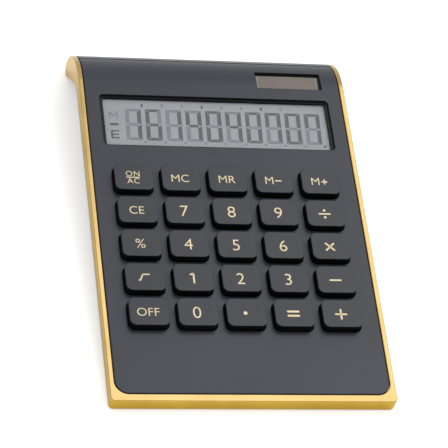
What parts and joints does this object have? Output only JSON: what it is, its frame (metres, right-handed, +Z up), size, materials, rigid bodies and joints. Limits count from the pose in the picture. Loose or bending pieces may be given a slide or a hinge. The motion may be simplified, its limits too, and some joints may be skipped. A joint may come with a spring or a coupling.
{
  "type": "pocket calculator",
  "caption": "Slim dual-power calculator with a metal side frame, raised push keys, a recessed display and a panel that curls over into a rear foot.",
  "frame": {"origin": "on the table under the middle of the body: the centre of the bottom of its box", "axes": "+Z up from the table, +X to the right of the person using it, +Y away from that person, from the front bar to the rear foot"},
  "size_m": [0.1058, 0.1695, 0.0212],
  "materials": {
    "gold_anodised": "gold-anodised aluminium, satin on the faces and brighter on the polished edges",
    "panel_plastic": "dark blue-grey moulded plastic with a fine satin texture",
    "cover_plastic": "black moulded plastic, glossy over the curl",
    "key_plastic": "dark blue-grey moulded plastic, satin, with pale printed legends",
    "clear_window": "clear display window",
    "display_glass": "grey-green reflective liquid-crystal display glass",
    "ribbon_film": "amber flexible film with fine printed tracks",
    "solar_glass": "amorphous silicon cell, brown behind glass, with a grey border",
    "black_foam": "soft closed-cell foam",
    "wire_red": "thin insulated wire, red",
    "wire_black": "thin insulated wire, black",
    "board_laminate": "circuit board laminate with copper tracks and lacquer",
    "black_resin": "glossy black resin drop over the chip",
    "capacitor_ceramic": "ceramic body with tinned ends",
    "diode_glass": "orange glass diode with tinned ends",
    "mat_rubber": "soft pale silicone rubber",
    "carbon_rubber": "conductive carbon rubber",
    "cell_steel": "nickel-plated steel button cell",
    "contact_metal": "sprung contact metal",
    "screw_steel": "zinc-plated steel screws",
    "foot_rubber": "black rubber feet"
  },
  "bodies": {
    "case": {"gold_frame": "gold_anodised", "front_panel": "panel_plastic", "rear_cover": "cover_plastic", "display_window": "clear_window", "display_front_glass": "display_glass", "display_rear_glass": "display_glass", "display_ribbon": "ribbon_film", "solar_cell": "solar_glass", "solar_cell_pad": "black_foam", "solar_wire_plus": "wire_red", "solar_wire_minus": "wire_black", "circuit_board": "board_laminate", "chip_blob": "black_resin", "chip_capacitor": "capacitor_ceramic", "glass_diode": "diode_glass", "key_mat": "mat_rubber", "contact_pills": "carbon_rubber", "button_cell": "cell_steel", "cell_contact_plus": "contact_metal", "cell_contact_minus": "contact_metal", "cell_wire_plus": "wire_red", "cell_wire_minus": "wire_black", "case_screws": "screw_steel", "front_feet": "foot_rubber", "rear_feet": "foot_rubber"},
    "battery_door": {"battery_door": "cover_plastic"},
    "key_on_ac": {"key_on_ac": "key_plastic"},
    "key_mc": {"key_mc": "key_plastic"},
    "key_mr": {"key_mr": "key_plastic"},
    "key_m_minus": {"key_m_minus": "key_plastic"},
    "key_m_plus": {"key_m_plus": "key_plastic"},
    "key_ce": {"key_ce": "key_plastic"},
    "key_7": {"key_7": "key_plastic"},
    "key_8": {"key_8": "key_plastic"},
    "key_9": {"key_9": "key_plastic"},
    "key_divide": {"key_divide": "key_plastic"},
    "key_percent": {"key_percent": "key_plastic"},
    "key_4": {"key_4": "key_plastic"},
    "key_5": {"key_5": "key_plastic"},
    "key_6": {"key_6": "key_plastic"},
    "key_multiply": {"key_multiply": "key_plastic"},
    "key_root": {"key_root": "key_plastic"},
    "key_1": {"key_1": "key_plastic"},
    "key_2": {"key_2": "key_plastic"},
    "key_3": {"key_3": "key_plastic"},
    "key_subtract": {"key_subtract": "key_plastic"},
    "key_off": {"key_off": "key_plastic"},
    "key_0": {"key_0": "key_plastic"},
    "key_point": {"key_point": "key_plastic"},
    "key_equals": {"key_equals": "key_plastic"},
    "key_add": {"key_add": "key_plastic"}
  },
  "joints": [
    {"name": "key_on_ac_press", "type": "slide", "parent": "case", "child": "key_on_ac", "axis": [0, 0.1045, -0.9945], "range_m": [0, 0.0008], "stiffness_N_per_m": 600, "springref_m": -0.0003, "deforming": ["key_mat", "contact_pills"]},
    {"name": "key_mc_press", "type": "slide", "parent": "case", "child": "key_mc", "axis": [0, 0.1045, -0.9945], "range_m": [0, 0.0008], "stiffness_N_per_m": 600, "springref_m": -0.0003, "deforming": ["key_mat", "contact_pills"]},
    {"name": "key_mr_press", "type": "slide", "parent": "case", "child": "key_mr", "axis": [0, 0.1045, -0.9945], "range_m": [0, 0.0008], "stiffness_N_per_m": 600, "springref_m": -0.0003, "deforming": ["key_mat", "contact_pills"]},
    {"name": "key_m_minus_press", "type": "slide", "parent": "case", "child": "key_m_minus", "axis": [0, 0.1045, -0.9945], "range_m": [0, 0.0008], "stiffness_N_per_m": 600, "springref_m": -0.0003, "deforming": ["key_mat", "contact_pills"]},
    {"name": "key_m_plus_press", "type": "slide", "parent": "case", "child": "key_m_plus", "axis": [0, 0.1045, -0.9945], "range_m": [0, 0.0008], "stiffness_N_per_m": 600, "springref_m": -0.0003, "deforming": ["key_mat", "contact_pills"]},
    {"name": "key_ce_press", "type": "slide", "parent": "case", "child": "key_ce", "axis": [0, 0.1045, -0.9945], "range_m": [0, 0.0008], "stiffness_N_per_m": 600, "springref_m": -0.0003, "deforming": ["key_mat", "contact_pills"]},
    {"name": "key_7_press", "type": "slide", "parent": "case", "child": "key_7", "axis": [0, 0.1045, -0.9945], "range_m": [0, 0.0008], "stiffness_N_per_m": 600, "springref_m": -0.0003, "deforming": ["key_mat", "contact_pills"]},
    {"name": "key_8_press", "type": "slide", "parent": "case", "child": "key_8", "axis": [0, 0.1045, -0.9945], "range_m": [0, 0.0008], "stiffness_N_per_m": 600, "springref_m": -0.0003, "deforming": ["key_mat", "contact_pills"]},
    {"name": "key_9_press", "type": "slide", "parent": "case", "child": "key_9", "axis": [0, 0.1045, -0.9945], "range_m": [0, 0.0008], "stiffness_N_per_m": 600, "springref_m": -0.0003, "deforming": ["key_mat", "contact_pills"]},
    {"name": "key_divide_press", "type": "slide", "parent": "case", "child": "key_divide", "axis": [0, 0.1045, -0.9945], "range_m": [0, 0.0008], "stiffness_N_per_m": 600, "springref_m": -0.0003, "deforming": ["key_mat", "contact_pills"]},
    {"name": "key_percent_press", "type": "slide", "parent": "case", "child": "key_percent", "axis": [0, 0.1045, -0.9945], "range_m": [0, 0.0008], "stiffness_N_per_m": 600, "springref_m": -0.0003, "deforming": ["key_mat", "contact_pills"]},
    {"name": "key_4_press", "type": "slide", "parent": "case", "child": "key_4", "axis": [0, 0.1045, -0.9945], "range_m": [0, 0.0008], "stiffness_N_per_m": 600, "springref_m": -0.0003, "deforming": ["key_mat", "contact_pills"]},
    {"name": "key_5_press", "type": "slide", "parent": "case", "child": "key_5", "axis": [0, 0.1045, -0.9945], "range_m": [0, 0.0008], "stiffness_N_per_m": 600, "springref_m": -0.0003, "deforming": ["key_mat", "contact_pills"]},
    {"name": "key_6_press", "type": "slide", "parent": "case", "child": "key_6", "axis": [0, 0.1045, -0.9945], "range_m": [0, 0.0008], "stiffness_N_per_m": 600, "springref_m": -0.0003, "deforming": ["key_mat", "contact_pills"]},
    {"name": "key_multiply_press", "type": "slide", "parent": "case", "child": "key_multiply", "axis": [0, 0.1045, -0.9945], "range_m": [0, 0.0008], "stiffness_N_per_m": 600, "springref_m": -0.0003, "deforming": ["key_mat", "contact_pills"]},
    {"name": "key_root_press", "type": "slide", "parent": "case", "child": "key_root", "axis": [0, 0.1045, -0.9945], "range_m": [0, 0.0008], "stiffness_N_per_m": 600, "springref_m": -0.0003, "deforming": ["key_mat", "contact_pills"]},
    {"name": "key_1_press", "type": "slide", "parent": "case", "child": "key_1", "axis": [0, 0.1045, -0.9945], "range_m": [0, 0.0008], "stiffness_N_per_m": 600, "springref_m": -0.0003, "deforming": ["key_mat", "contact_pills"]},
    {"name": "key_2_press", "type": "slide", "parent": "case", "child": "key_2", "axis": [0, 0.1045, -0.9945], "range_m": [0, 0.0008], "stiffness_N_per_m": 600, "springref_m": -0.0003, "deforming": ["key_mat", "contact_pills"]},
    {"name": "key_3_press", "type": "slide", "parent": "case", "child": "key_3", "axis": [0, 0.1045, -0.9945], "range_m": [0, 0.0008], "stiffness_N_per_m": 600, "springref_m": -0.0003, "deforming": ["key_mat", "contact_pills"]},
    {"name": "key_subtract_press", "type": "slide", "parent": "case", "child": "key_subtract", "axis": [0, 0.1045, -0.9945], "range_m": [0, 0.0008], "stiffness_N_per_m": 600, "springref_m": -0.0003, "deforming": ["key_mat", "contact_pills"]},
    {"name": "key_off_press", "type": "slide", "parent": "case", "child": "key_off", "axis": [0, 0.1045, -0.9945], "range_m": [0, 0.0008], "stiffness_N_per_m": 600, "springref_m": -0.0003, "deforming": ["key_mat", "contact_pills"]},
    {"name": "key_0_press", "type": "slide", "parent": "case", "child": "key_0", "axis": [0, 0.1045, -0.9945], "range_m": [0, 0.0008], "stiffness_N_per_m": 600, "springref_m": -0.0003, "deforming": ["key_mat", "contact_pills"]},
    {"name": "key_point_press", "type": "slide", "parent": "case", "child": "key_point", "axis": [0, 0.1045, -0.9945], "range_m": [0, 0.0008], "stiffness_N_per_m": 600, "springref_m": -0.0003, "deforming": ["key_mat", "contact_pills"]},
    {"name": "key_equals_press", "type": "slide", "parent": "case", "child": "key_equals", "axis": [0, 0.1045, -0.9945], "range_m": [0, 0.0008], "stiffness_N_per_m": 600, "springref_m": -0.0003, "deforming": ["key_mat", "contact_pills"]},
    {"name": "key_add_press", "type": "slide", "parent": "case", "child": "key_add", "axis": [0, 0.1045, -0.9945], "range_m": [0, 0.0008], "stiffness_N_per_m": 600, "springref_m": -0.0003, "deforming": ["key_mat", "contact_pills"]},
    {"name": "battery_door_slide", "type": "slide", "parent": "case", "child": "battery_door", "axis": [0, 0.7771, -0.6293], "range_m": [0, 0.006]}
  ]
}
